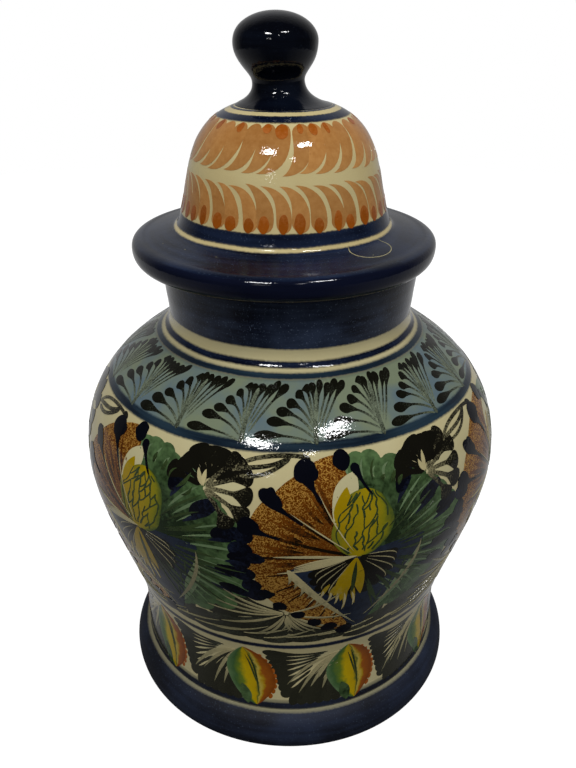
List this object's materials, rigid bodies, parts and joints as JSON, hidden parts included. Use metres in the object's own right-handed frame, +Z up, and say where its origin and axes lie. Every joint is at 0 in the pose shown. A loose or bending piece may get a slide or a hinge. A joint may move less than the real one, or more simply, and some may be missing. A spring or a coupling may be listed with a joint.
{
  "type": "lidded ceramic jar",
  "caption": "Baluster-shaped tin-glazed storage jar on a rolled foot, with a domed lift-off lid that has a wide flange and a round knob.",
  "frame": {"origin": "on the ground under the middle of the foot", "axes": "+Z up along the jar's axis, -Y towards the viewer of the picture, +X to the viewer's right"},
  "size_m": [0.1966, 0.1966, 0.32],
  "materials": {
    "jar_glaze": "gloss tin glaze, cream ground painted in black, ochre, green, yellow and cobalt",
    "lid_glaze": "gloss tin glaze, cobalt flange, cream dome painted in orange",
    "knob_glaze": "gloss cobalt glaze, nearly black"
  },
  "bodies": {
    "jar": {"jar_body": "jar_glaze"},
    "lid": {"lid": "lid_glaze", "lid_knob": "knob_glaze"}
  },
  "joints": [
    {"name": "lid_lift", "type": "slide", "parent": "jar", "child": "lid", "axis": [0, 0, 1], "range_m": [0, 0.1]}
  ]
}
